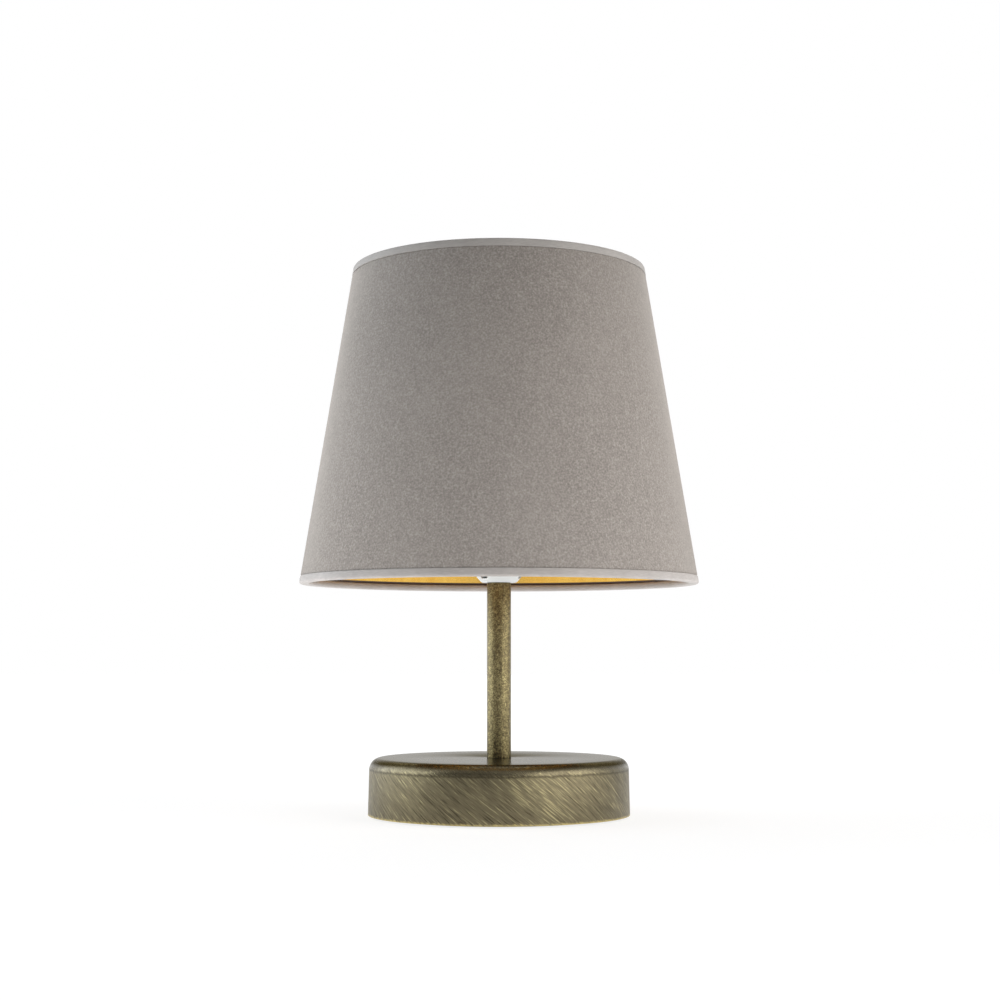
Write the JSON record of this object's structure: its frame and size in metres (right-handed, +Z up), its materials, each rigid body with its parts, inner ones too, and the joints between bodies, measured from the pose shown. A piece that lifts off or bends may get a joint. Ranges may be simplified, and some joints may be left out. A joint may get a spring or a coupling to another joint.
{
  "type": "table lamp",
  "caption": "Small table lamp: a conical fabric shade on a slim upright stem over a weighted round base, with a screw-cap bulb inside.",
  "frame": {"origin": "centre of the felt pad's underside, where the lamp stands on the table", "axes": "+Z up the stem, -Y towards the viewer of the picture, +Y towards the cable inlet"},
  "size_m": [0.1996, 0.1996, 0.2748],
  "materials": {
    "antique_brass": "brushed, antiqued, clear-lacquered",
    "zinc_steel": "bright zinc plate",
    "cast_iron": "as cast, dark",
    "black_steel": "matt black",
    "felt": "pressed felt",
    "rubber": "matt black",
    "brass": "plain",
    "white_plastic": "satin white",
    "white_paint": "white powder coat",
    "opal": "opal, diffusing",
    "black_glass": "black glass insulator",
    "velvet": "taupe velvet, soft nap",
    "trim_tape": "smooth woven tape",
    "gold_foil": "metallised gold film, satin",
    "live_sleeve": "brown",
    "neutral_sleeve": "blue",
    "earth_sleeve": "green and yellow"
  },
  "bodies": {
    "lamp_body": {"base_cover": "antique_brass", "cable_inlet_bush": "rubber", "ballast_disc": "cast_iron", "pillar_1": "zinc_steel", "pillar_2": "zinc_steel", "pillar_3": "zinc_steel", "bottom_plate": "black_steel", "plate_screw_1": "zinc_steel", "plate_screw_2": "zinc_steel", "plate_screw_3": "zinc_steel", "felt_pad": "felt", "stem_tube": "antique_brass", "threaded_tube": "zinc_steel", "clamp_washer": "zinc_steel", "star_washer": "zinc_steel", "clamp_nut": "zinc_steel", "terminal_strip": "white_plastic", "pole_tube_1": "brass", "pole_tube_2": "brass", "pole_tube_3": "brass", "pole_screw_1_front": "zinc_steel", "pole_screw_1_rear": "zinc_steel", "pole_screw_2_front": "zinc_steel", "pole_screw_2_rear": "zinc_steel", "pole_screw_3_front": "zinc_steel", "pole_screw_3_rear": "zinc_steel", "strip_screw": "zinc_steel", "earth_lug": "brass", "earth_screw": "zinc_steel", "earth_lead": "earth_sleeve", "neutral_lead": "neutral_sleeve", "live_lead": "live_sleeve", "holder_cap": "white_plastic", "holder_grub_screw": "zinc_steel", "contact_block": "white_plastic", "neutral_terminal_screw": "brass", "live_terminal_screw": "brass", "screw_shell": "brass", "centre_contact": "brass", "holder_sleeve": "white_plastic"},
    "shade": {"shade_fabric": "velvet", "shade_liner": "gold_foil", "top_trim": "trim_tape", "bottom_trim": "trim_tape", "top_ring_wire": "white_paint", "bottom_ring_wire": "white_paint", "carrier_ring": "white_paint", "carrier_arm_1": "white_paint", "carrier_arm_2": "white_paint", "carrier_arm_3": "white_paint"},
    "shade_ring": {"shade_ring_nut": "white_plastic"},
    "bulb": {"bulb_tip_contact": "zinc_steel", "bulb_insulator": "black_glass", "bulb_cap": "zinc_steel", "bulb_housing": "white_plastic", "bulb_globe": "opal"}
  },
  "joints": [
    {"name": "shade_lift", "type": "slide", "parent": "lamp_body", "child": "shade", "axis": [0, 0, 1], "range_m": [0, 0.11]},
    {"name": "ring_lift", "type": "slide", "parent": "shade", "child": "shade_ring", "axis": [0, 0, 1], "range_m": [0, 0.1]},
    {"name": "bulb_lift", "type": "slide", "parent": "lamp_body", "child": "bulb", "axis": [0, 0, 1], "range_m": [0, 0.135]}
  ]
}
